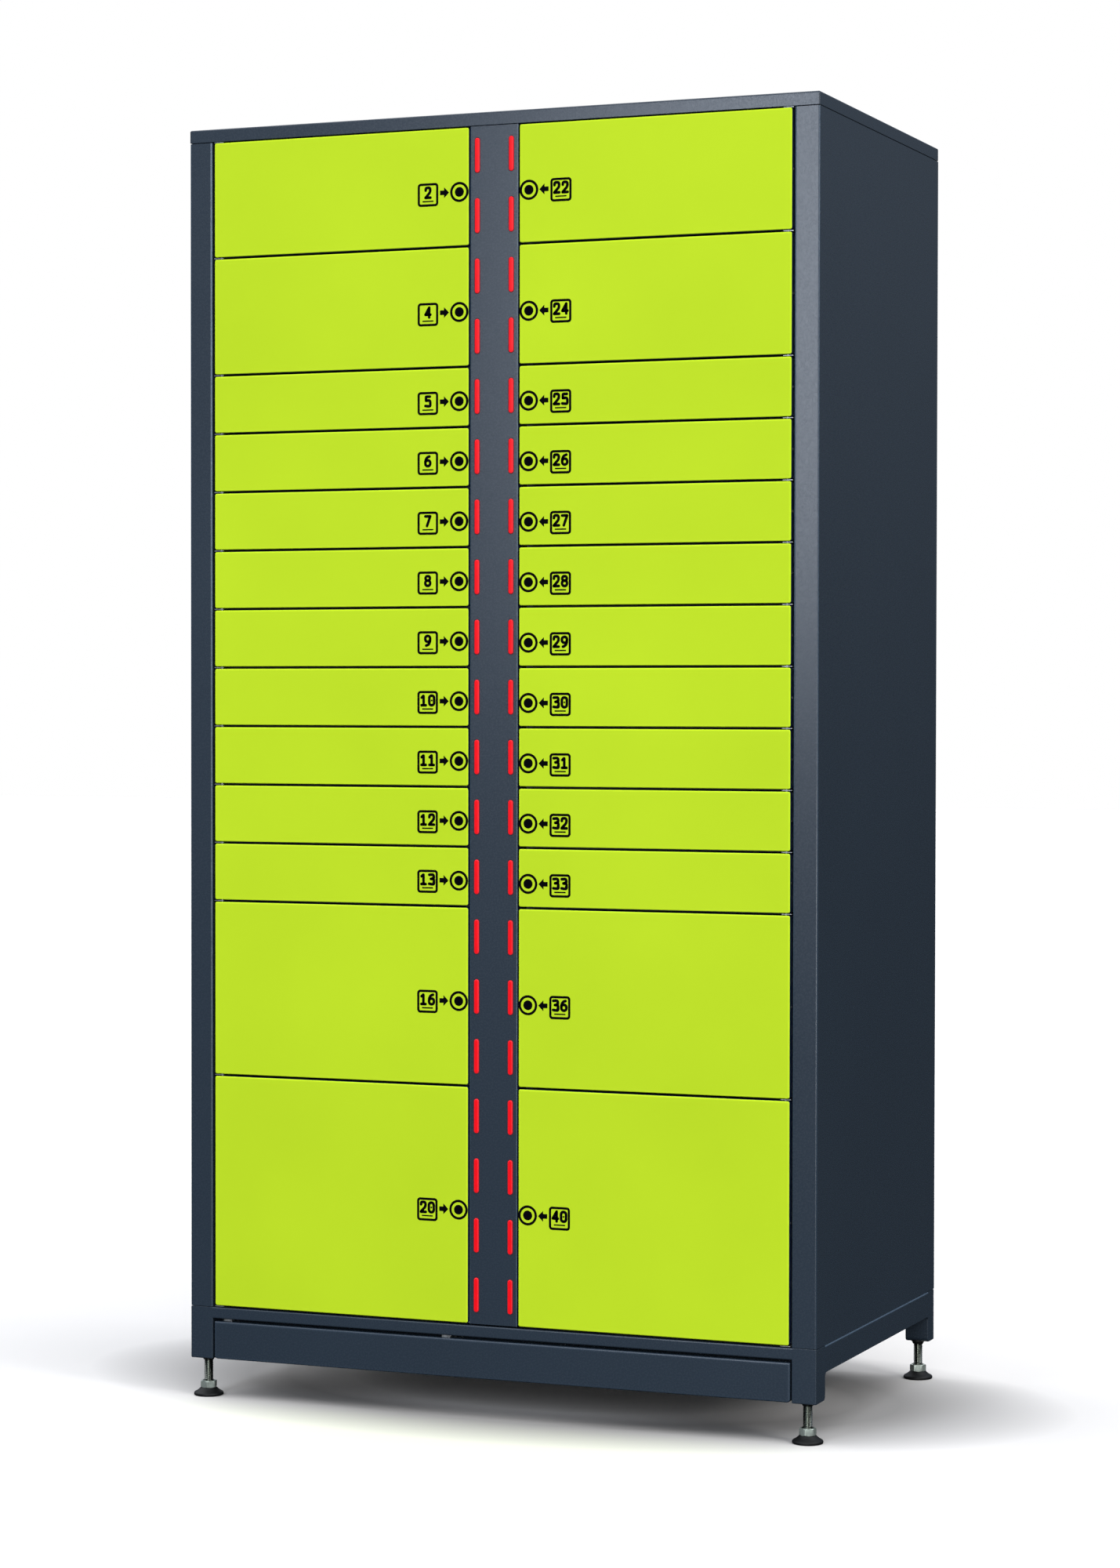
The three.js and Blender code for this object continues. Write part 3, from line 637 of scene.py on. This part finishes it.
def build_back_screws():
    """Pan-head screws with a cross recess, round the edge of the back panel."""
    low, high = node_box("back_panel")
    x, z0, z1 = high.x - 12, low.z + 14, high.z - 14
    count = 7
    heights = [z0 + (z1 - z0) * i / (count - 1) for i in range(count)]
    places = [(side * x, z) for side in (-1, 1) for z in heights]
    places += [(px, z) for px in (-x / 2, 0.0, x / 2) for z in (z0, z1)]
    shape = Shape()
    for px, z in places:
        shape.turned([(3.9, high.y - 0.1), (3.9, high.y + 0.7), (3.3, high.y + 1.3), (2.0, high.y + 1.6)], px, z, 16)
        for wide, tall in ((1.9, 0.35), (0.35, 1.9)):
            shape.box((px - wide, high.y + 1.5, z - tall), (px + wide, high.y + 1.62, z + tall), 1)
    shape.object("back_panel_screws", [ZINC, FOOT_BLACK], CABINET)


for name, side in SIDES.items():
    build_side_panel(name, side)
build_back_screws()
build_cap()
build_plinth_cover()
build_post()
build_base()


# ---------------------------------------------------------------- doors
STRIKER_X = 45.8
STRIKER_HALF_HEIGHT = 10.0
STRIKER_FOOT = 16.0


def striker(shape, side, front, tip, middle):
    """Bent steel hook plate welded in the pan, with the window that the latch grips."""
    x = side * STRIKER_X
    half = 1.2
    bottom, top = middle - STRIKER_HALF_HEIGHT, middle + STRIKER_HALF_HEIGHT
    outer = rounded(front + SHEET, tip, bottom, top, 2.5, 3)
    inner = rounded(front + 21, tip - 4, middle - 5.5, middle + 5.5, 1.2, 3)
    rings = [shape.ring([(px, y, z) for y, z in line]) for line, px in
             ((outer, x - half), (outer, x + half), (inner, x + half), (inner, x - half))]
    for i in range(4):
        shape.bridge(rings[i], rings[(i + 1) % 4], 1)
    x0, x1 = sorted((x, x + side * STRIKER_FOOT))
    shape.box((x0, front + SHEET - 0.1, bottom), (x1, front + SHEET + 1.6, top), 1, 1.0)


def build_door(node, side):
    """A door's pan with its striker, a rivet at the hinge edge, pivot bushes and rubber stops."""
    low, high = node_box(node)
    front, z0, z1 = low.y, low.z, high.z
    shape = Shape()
    # The pan's bends carry the lime coat's slight painted highlight; slot 3, its returns and back edges, takes the
    # dark navy that paints the shade in the gaps between doors.
    pan(shape, low.x, high.x, z0, z1, front, PAN_DEPTH, 1.6, 2.8, 3)
    striker(shape, side, front, high.y, (z0 + z1) / 2)
    shape.rivet(side * DOOR_OUTER, side, front + 8, (z0 + z1) / 2, 1)
    for level, way in ((z0, 1), (z1, -1)):
        inner = level + way * SHEET
        shape.lathe([(5.0, inner), (5.0, inner + way * 1.2), (4.0, inner + way * 1.6), (4.0, inner + way * 5)],
                    side * PIVOT_X, front + PIVOT_DEPTH, 24, 2)
    for z in (z0 + 12, z1 - 12):
        shape.turned([(5.0, front + SHEET), (5.0, front + SHEET + 2.2), (4.0, front + SHEET + 3.2)],
                     side * 66, z, 20, 2)
    shape.object(f"{node}_pan", [LIME, ZINC, FOOT_BLACK, DOOR_GAP_SHADE], f"{node}_body", [node])


# ---------------------------------------------------------------- print on the doors
def ribbon(points, width):
    """The outline of a stroke with round ends."""
    half = width / 2
    left, right = [], []
    for i, point in enumerate(points):
        here = Vector(point)
        before = (here - Vector(points[i - 1])).normalized() if i else None
        after = (Vector(points[i + 1]) - here).normalized() if i + 1 < len(points) else None
        along = ((before or after) + (after or before)).normalized()
        across = Vector((-along.y, along.x))
        side = Vector((-(before or after).y, (before or after).x))
        reach = half / max(0.5, across.dot(side))
        left.append(tuple(here + across * reach))
        right.append(tuple(here - across * reach))
    outline = list(left)
    for end, line in ((points[-1], left[-1]), (points[0], right[0])):
        start = math.atan2(line[1] - end[1], line[0] - end[0])
        cap = [(end[0] + half * math.cos(start - math.pi * k / 6), end[1] + half * math.sin(start - math.pi * k / 6))
               for k in range(1, 6)]
        outline += cap
        if end is points[-1]:
            outline += list(reversed(right))
    return outline


# Centrelines of the numerals in a cell one unit wide and one unit high: strokes with square corners, strokes
# with round ones, and closed bowls given by their left, right, lower and upper edges.
SQUARE_STROKES = {
    "1": [[(0.1, 0.8), (0.5, 1.0), (0.5, 0.0)], [(0.06, 0.0), (0.94, 0.0)]],
    "2": [[(0.0, 0.0), (1.0, 0.0)]],
    "4": [[(0.76, 0.0), (0.76, 1.0)], [(0.76, 1.0), (0.0, 0.28)], [(0.0, 0.28), (1.0, 0.28)]],
    "5": [[(0.92, 1.0), (0.12, 1.0), (0.12, 0.58)]],
    "7": [[(0.0, 1.0), (1.0, 1.0)], [(1.0, 1.0), (0.34, 0.0)]],
}
ROUND_STROKES = {
    "2": [[(0.03, 0.76), (0.08, 1.02), (0.94, 1.04), (0.98, 0.58), (0.02, 0.02)]],
    "3": [[(0.03, 0.98), (0.95, 1.02), (0.95, 0.56), (0.36, 0.55)],
          [(0.36, 0.55), (1.0, 0.54), (1.0, 0.0), (0.5, 0.0), (0.0, 0.04)]],
    "5": [[(0.12, 0.58), (1.0, 0.62), (1.0, 0.0), (0.5, 0.0), (0.0, 0.04)]],
    "6": [[(0.82, 1.0), (0.3, 0.9), (0.0, 0.55), (0.0, 0.25)]],
    "9": [[(0.18, 0.0), (0.7, 0.1), (1.0, 0.45), (1.0, 0.75)]],
}
BOWLS = {
    "6": [(0.0, 1.0, 0.0, 0.6)],
    "8": [(0.05, 0.95, 0.55, 1.0), (0.0, 1.0, 0.0, 0.55)],
    "9": [(0.0, 1.0, 0.4, 1.0)],
    "0": [(0.0, 1.0, 0.0, 1.0)],
}
NUMERAL_WIDTH = 7.9
NUMERAL_HEIGHT = 14.2
NUMERAL_STROKE = 4.2
NUMERAL_PITCH = 13.0
NUMERAL_RISE = 3.0  # the numerals' middle above the card's
PRINT_PROUD = 0.12


def numeral(digit, x, z, plate):
    """One numeral with the lower left corner of its centrelines at x, z; plate() adds an outline to the print."""
    half = NUMERAL_STROKE / 2
    for strokes, corner in ((SQUARE_STROKES, 1.2), (ROUND_STROKES, 4.2)):
        for stroke in strokes.get(digit, []):
            points = [(x + u * NUMERAL_WIDTH, z + v * NUMERAL_HEIGHT) for u, v in stroke]
            plate(ribbon(filleted(points, corner), NUMERAL_STROKE))
    for u0, u1, v0, v1 in BOWLS.get(digit, []):
        x0, x1 = x + u0 * NUMERAL_WIDTH, x + u1 * NUMERAL_WIDTH
        z0, z1 = z + v0 * NUMERAL_HEIGHT, z + v1 * NUMERAL_HEIGHT
        radius = min(x1 - x0, z1 - z0) / 2
        outer = rounded(x0 - half, x1 + half, z0 - half, z1 + half, radius * 0.96 + half, 6)
        inner = rounded(x0 + half, x1 - half, z0 + half, z1 - half, max(radius * 0.96 - half, 0.3), 6)
        plate(outer, inner)
    if digit == "0":
        plate(circle(x + NUMERAL_WIDTH / 2, z + NUMERAL_HEIGHT / 2, 1.35, 16))


# A plain arrow that points at the ring, measured outwards from the ring's centre.
ARROW_TIP = 16.5
ARROW_NECK = 24.5
ARROW_TAIL = 31.0
ARROW_HEAD_HALF = 8.0
ARROW_SHAFT_HALF = 3.4
PRINT_X = 55.3  # the ring's centre, from the middle of the post
PRINT_DROP = {-1: 6.0, 1: 8.5}  # and below the middle of a door, in the left and the right column
TALL_DOOR = 100.0
TALL_DOOR_DROP = 1.5
RING_RADIUS = 12.9
RING_STROKE = 3.7
DOT_RADIUS = 7.2
CARD_X = 50.4
CARD_Z = -2.0
CARD_HALF_X = 16.6
CARD_HALF_Z = 17.1
CARD_RADIUS = 5.0
CARD_INNER_RADIUS = 1.8
CARD_RIM = 3.5
CARD_LINE_HALF = 9.0
CARD_LINE_Z = -9.6
CARD_LINE_STROKE = 2.0


def build_print(node, side):
    """A ring with a dot, an arrow that points at it, and the numbered card of one door."""
    low, high = node_box(node)
    cx = side * PRINT_X
    cz = (low.z + high.z) / 2 - PRINT_DROP[side] - (TALL_DOOR_DROP if high.z - low.z > TALL_DOOR else 0.0)
    y0, y1 = low.y - PRINT_PROUD, low.y + 0.2
    shape = Shape()

    def plate(outline, inner=None):
        if inner:
            shape.framed(outline, inner, y0, y1)
        else:
            shape.plate(outline, y0, y1)

    half = RING_STROKE / 2
    plate(circle(cx, cz, RING_RADIUS + half, 48), circle(cx, cz, RING_RADIUS - half, 48))
    plate(circle(cx, cz, DOT_RADIUS))
    upper = [(ARROW_TIP, 0.0), (ARROW_NECK, ARROW_HEAD_HALF), (ARROW_NECK, ARROW_SHAFT_HALF),
             (ARROW_TAIL, ARROW_SHAFT_HALF)]
    arrow = upper + [(x, -z) for x, z in reversed(upper[1:])]
    plate([(cx + side * x, cz + z) for x, z in filleted(arrow, 0.6, True, 4)])
    x, z = cx + side * CARD_X, cz + CARD_Z
    wide, tall = CARD_HALF_X, CARD_HALF_Z
    outer = rounded(x - wide, x + wide, z - tall, z + tall, CARD_RADIUS, 6)
    wide, tall = wide - CARD_RIM, tall - CARD_RIM
    plate(outer, rounded(x - wide, x + wide, z - tall, z + tall, CARD_INNER_RADIUS, 6))
    label = node[-2:].lstrip("0")
    start = x - NUMERAL_WIDTH / 2 - NUMERAL_PITCH / 2 * (len(label) - 1)
    for i, digit in enumerate(label):
        numeral(digit, start + i * NUMERAL_PITCH, z + NUMERAL_RISE - NUMERAL_HEIGHT / 2, plate)
    line, half = z + CARD_LINE_Z, CARD_LINE_STROKE / 2
    plate(rounded(x - CARD_LINE_HALF, x + CARD_LINE_HALF, line - half, line + half, 0.9, 3))
    shape.object(f"{node}_print", [PRINT], f"{node}_body")


for node in sorted(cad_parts):
    if node.startswith("door_"):
        side = 1 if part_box(node)[0].x > 0 else -1
        build_door(node, side)
        build_print(node, side)


# ---------------------------------------------------------------- light strips
# The section of a lens: how far in from its outline, how far behind its top, and the material slot; slot 1, the
# rounded rim, is the lighter red of a painted highlight.
LENS_SECTION = ((0.0, 1.15, 1), (0.15, 0.7, 1), (0.5, 0.35, 1), (1.1, 0.1, 1), (1.7, 0.03, 0), (3.3, 0.0, 0))
LENS_TOP = -295.45
BOARD_THICKNESS = 2.0


def build_light_strip(name, side):
    """A narrow board carrying one long domed lens in the middle of every door unit."""
    node = f"light_strip_{name}"
    low, high = node_box(node)
    board_front = high.y - BOARD_THICKNESS
    shape = Shape()
    shape.box((low.x, board_front, low.z), (high.x, high.y, high.z), 2, 0.8)
    x = side * BAR_X
    for i in range(UNITS):
        z = FIELD_BOTTOM + UNIT * (i + 0.5)
        profile = [(0.0, board_front, 1)] + [(inset, LENS_TOP + depth, slot) for inset, depth, slot in LENS_SECTION]
        rings = [[(px, y, pz) for px, pz in bar_line(x, z, inset)] for inset, y, _ in profile]
        made = [shape.ring(points) for points in rings]
        for first, second, (_, _, slot) in zip(made, made[1:], profile[1:]):
            shape.bridge(first, second, slot)
        shape.face(made[-1], 0)
    shape.object(f"{node}_lenses", [RED, RED_RIM_HIGHLIGHT, BOARD], CABINET, [node])


for name, side in SIDES.items():
    build_light_strip(name, side)


# ---------------------------------------------------------------- feet
THREAD_PITCH = 2.0
THREAD_STEPS = 24
THREAD_ROOT = 6.0
THREAD_CREST = 7.0
HEX_APOTHEM = 11.0
HEX_ROUND = 12.6
HEX_HEIGHT = 10.0


def thread(shape, x, y, z0, z1):
    """A helical V thread round an upright line, over a plain core."""
    turns = int((z1 - z0) / THREAD_PITCH)
    count = turns * THREAD_STEPS
    roots, crests = [], []
    for i in range(count + 1):
        angle = 2 * math.pi * i / THREAD_STEPS
        z = z0 + THREAD_PITCH * i / THREAD_STEPS
        for line, radius, lift in ((roots, THREAD_ROOT, 0.0), (crests, THREAD_CREST, THREAD_PITCH / 2)):
            line.append(shape.bm.verts.new((x + radius * math.cos(angle), y + radius * math.sin(angle), z + lift)))
    for i in range(count):
        shape.face((roots[i], roots[i + 1], crests[i + 1], crests[i]))
        j = i + THREAD_STEPS
        if j < count:
            shape.face((crests[i], crests[i + 1], roots[j + 1], roots[j]))
    shape.lathe([(THREAD_ROOT - 0.05, z0 - 0.5), (THREAD_ROOT - 0.05, z1 + 0.5)], x, y, THREAD_STEPS)


def hexagon(x, y, limit, z, turn, steps=48):
    """One level of a hexagonal nut: the six flats, cut to a round of radius limit."""
    points = []
    for i in range(steps):
        angle = 2 * math.pi * i / steps
        reach = HEX_APOTHEM / math.cos((angle + math.pi / 6) % (math.pi / 3) - math.pi / 6)
        reach = min(reach, limit)
        points.append((x + reach * math.cos(angle + turn), y + reach * math.sin(angle + turn), z))
    return points


def build_foot(corner, body, turn):
    """One screw foot: a nut turned by some degrees, the threaded stem and the moulded pad."""
    stem, pad = f"foot_stem_{corner}", f"foot_pad_{corner}"
    low, high = node_box(stem)
    x, y = (low.x + high.x) / 2, (low.y + high.y) / 2
    bottom, top = low.z, low.z + HEX_HEIGHT
    shape = Shape()
    shape.loft([hexagon(x, y, limit, z, math.radians(turn)) for limit, z in
                ((HEX_APOTHEM * 1.01, bottom), (HEX_ROUND, bottom + 0.8), (HEX_ROUND, top - 0.8),
                 (HEX_APOTHEM * 1.01, top))], 1)
    shape.lathe([(8.6, top), (8.6, top + 0.8), (7.6, top + 1.4)], x, y, 32)
    thread(shape, x, y, top + 0.5, high.z - 1)
    shape.object(f"{stem}_threaded", [FOOT_ZINC, NUT_ZINC], body, [stem])

    low, high = node_box(pad)
    radius = (high.x - low.x) / 2
    shape = Shape()
    shape.lathe([(radius - 3.0, 0.0), (radius - 1.4, 0.0), (radius - 0.4, 0.5), (radius, 1.5), (radius, 3.0),
                 (radius - 0.4, 4.1), (radius - 1.2, 4.9), (radius - 2.6, 5.6), (18.0, 6.7), (16.0, 8.0),
                 (14.4, 9.4), (13.2, 10.6), (12.6, 11.3), (11.8, 11.5)], x, y, 64)
    shape.object(f"{pad}_moulding", [FOOT_BLACK], body, [pad])


def build_collar(corner):
    """Flared plastic bush pressed into the underside of a leg, round the stem."""
    low, high = node_box(f"foot_stem_{corner}")
    x, y = (low.x + high.x) / 2, (low.y + high.y) / 2
    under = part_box("base_frame")[0].z / MM
    profile = [(7.2, under + 2), (10.2, under + 2), (10.2, under - 0.8), (9.4, under - 1.6), (8.4, under - 3.4),
               (8.0, under - 4.6), (7.2, under - 4.6)]
    shape = Shape()
    shape.lathe(profile + profile[:1], x, y, 40, 0, False, False)
    bmesh.ops.remove_doubles(shape.bm, verts=shape.bm.verts, dist=0.001)
    shape.object(f"foot_collar_{corner}", [FOOT_BLACK], CABINET)


for corner, body, turn in (("fl", "foot_front_left", -48.0), ("fr", "foot_front_right", -62.0),
                           ("bl", "foot_back_left", -20.0), ("br", "foot_back_right", -72.0)):
    build_foot(corner, body, turn)
    build_collar(corner)


# ---------------------------------------------------------------- studio
FLOOR_SIZE = 60
SHADE_HALF_X = 0.80
SHADE_HALF_Y = 0.46
# Where the oval's tone changes, as a share of the way to its edge, and the tone there.
SHADE_STOPS = ((0.44, 1.0), (1.0, 1.0), (0.58, 0.46), (0.66, 0.44), (0.92, 0.86))


def contact_shade(g, tone):
    """A painted shadow on the floor: an oval of darker sweep round the foot of the object, which fades out at about
    its half widths.
    """
    scaled = g.stretched((1 / SHADE_HALF_X, 1 / SHADE_HALF_Y, 1.0))
    reach = g.node("VectorMath", operation="LENGTH")
    g.tree.links.new(scaled, reach.inputs[0])
    ramp = g.node("ValToRGB")
    g.tree.links.new(reach.outputs["Value"], ramp.inputs[0])
    stops = ramp.color_ramp.elements
    for stop, (place, level) in zip((stops[0], stops[1], stops.new(0.5), stops.new(0.5), stops.new(0.5)),
                                    SHADE_STOPS):
        stop.position = place
        stop.color = (level, level, level, 1.0)
    shaded = g.node("Mix", data_type="RGBA", blend_type="MULTIPLY")
    shaded.inputs[0].default_value = 1.0
    g.tree.links.new(tone, shaded.inputs[6])
    g.tree.links.new(ramp.outputs["Color"], shaded.inputs[7])
    g.tree.links.new(shaded.outputs[2], g.shader.inputs["Base Color"])


def stage_plane(name, z, colour, shaded=False):
    """A level sheet of matt sweep, which isn't part of the object."""
    half = FLOOR_SIZE / 2
    bm = bmesh.new()
    verts = [bm.verts.new((sx * half, sy * half, z)) for sx, sy in ((-1, -1), (1, -1), (1, 1), (-1, 1))]
    bm.faces.new(verts)
    mesh = bpy.data.meshes.new(name)
    bm.to_mesh(mesh)
    bm.free()
    g = Graph(name, colour, 0.9, Specular_IOR_Level=0.1)
    tone = g.vary_colour(1.5, 0.99, 1.01)
    if shaded:
        contact_shade(g, tone)
    mesh.materials.append(g.material)
    made = bpy.data.objects.new(name, mesh)
    bpy.context.scene.collection.objects.link(made)
    return made


def area_light(name, place, aim, width, height, radiance, colour=(1, 1, 1)):
    """A rectangular soft box of an even radiance, which the camera doesn't see."""
    light = bpy.data.lights.new(name, "AREA")
    light.shape = "RECTANGLE"
    light.size, light.size_y = width, height
    light.energy = radiance * math.pi * width * height
    light.color = colour
    made = bpy.data.objects.new(name, light)
    made.location = place
    made.rotation_mode = "QUATERNION"
    made.rotation_quaternion = (Vector(aim) - Vector(place)).to_track_quat("-Z", "Y")
    made.visible_camera = False
    bpy.context.scene.collection.objects.link(made)


def make_world():
    """Bluish and brighter overhead than at the horizon; plain white where the camera looks past the object."""
    world = bpy.data.worlds.new("studio")
    world.use_nodes = True
    tree = world.node_tree
    background = tree.nodes["Background"]
    seen = tree.nodes.new("ShaderNodeLightPath").outputs["Is Camera Ray"]
    tint = tree.nodes.new("ShaderNodeMix")
    tint.data_type = "RGBA"
    tree.links.new(seen, tint.inputs[0])
    tint.inputs[6].default_value = (0.84, 0.96, 1.14, 1)
    tint.inputs[7].default_value = (1, 1, 1, 1)
    tree.links.new(tint.outputs[2], background.inputs["Color"])
    up = tree.nodes.new("ShaderNodeSeparateXYZ")
    tree.links.new(tree.nodes.new("ShaderNodeTexCoord").outputs["Generated"], up.inputs[0])
    ramp = tree.nodes.new("ShaderNodeMapRange")
    tree.links.new(up.outputs["Z"], ramp.inputs["Value"])
    ramp.inputs["From Min"].default_value = 0.0
    ramp.inputs["From Max"].default_value = 1.0
    ramp.inputs["To Min"].default_value = 0.05
    ramp.inputs["To Max"].default_value = 0.6
    level = tree.nodes.new("ShaderNodeMath")
    level.operation = "MAXIMUM"
    tree.links.new(ramp.outputs["Result"], level.inputs[0])
    tree.links.new(seen, level.inputs[1])
    tree.links.new(level.outputs[0], background.inputs["Strength"])
    bpy.context.scene.world = world


def soft_sun(name, direction, angle, strength):
    """Even light from one part of the sky; strength is what reaches a level floor."""
    towards = Vector(direction).normalized()
    sun = bpy.data.lights.new(name, "SUN")
    sun.angle = math.radians(angle)
    sun.energy = strength / towards.z
    holder = bpy.data.objects.new(name, sun)
    holder.rotation_mode = "QUATERNION"
    holder.rotation_quaternion = towards.to_track_quat("Z", "Y")
    bpy.context.scene.collection.objects.link(holder)


def make_studio():
    """The floor that the camera sees, a darker one that the object is lit by, and the lights."""
    floor = stage_plane("floor", 0, (0.97, 0.932, 0.895), True)
    floor.visible_diffuse = False
    floor.visible_glossy = False
    bounce = stage_plane("floor_bounce", -0.002, (0.020, 0.021, 0.022))
    bounce.visible_camera = False
    area_light("softbox", (-1.1, -5.3, 2.3), (0, -0.3, 1.3), 1.05, 2.1, 9.8, (0.90, 0.97, 1.09))
    area_light("fill", (1.2, -6.6, 0.2), (0, -0.3, 0.6), 1.8, 1.2, 17.0)
    area_light("edge", (5.0, -2.0, 2.9), (0.4, 0, 1.9), 0.8, 2.0, 15.0)
    area_light("rear", (-1.0, 5.8, 2.4), (0.3, 0.3, 0.8), 1.6, 1.0, 3.0)
    soft_sun("ceiling", (0.0, -0.05, 1.0), 90, 0.5)
    soft_sun("from_front", (0.3, -0.93, 0.2), 35, 0.09)
    soft_sun("from_right", (0.62, -0.12, 0.77), 70, 0.9)
    soft_sun("from_left", (-0.62, -0.05, 0.78), 70, 0.92)
    make_world()
    scene = bpy.context.scene
    scene.view_settings.view_transform = "Standard"
    scene.view_settings.look = "None"


make_studio()
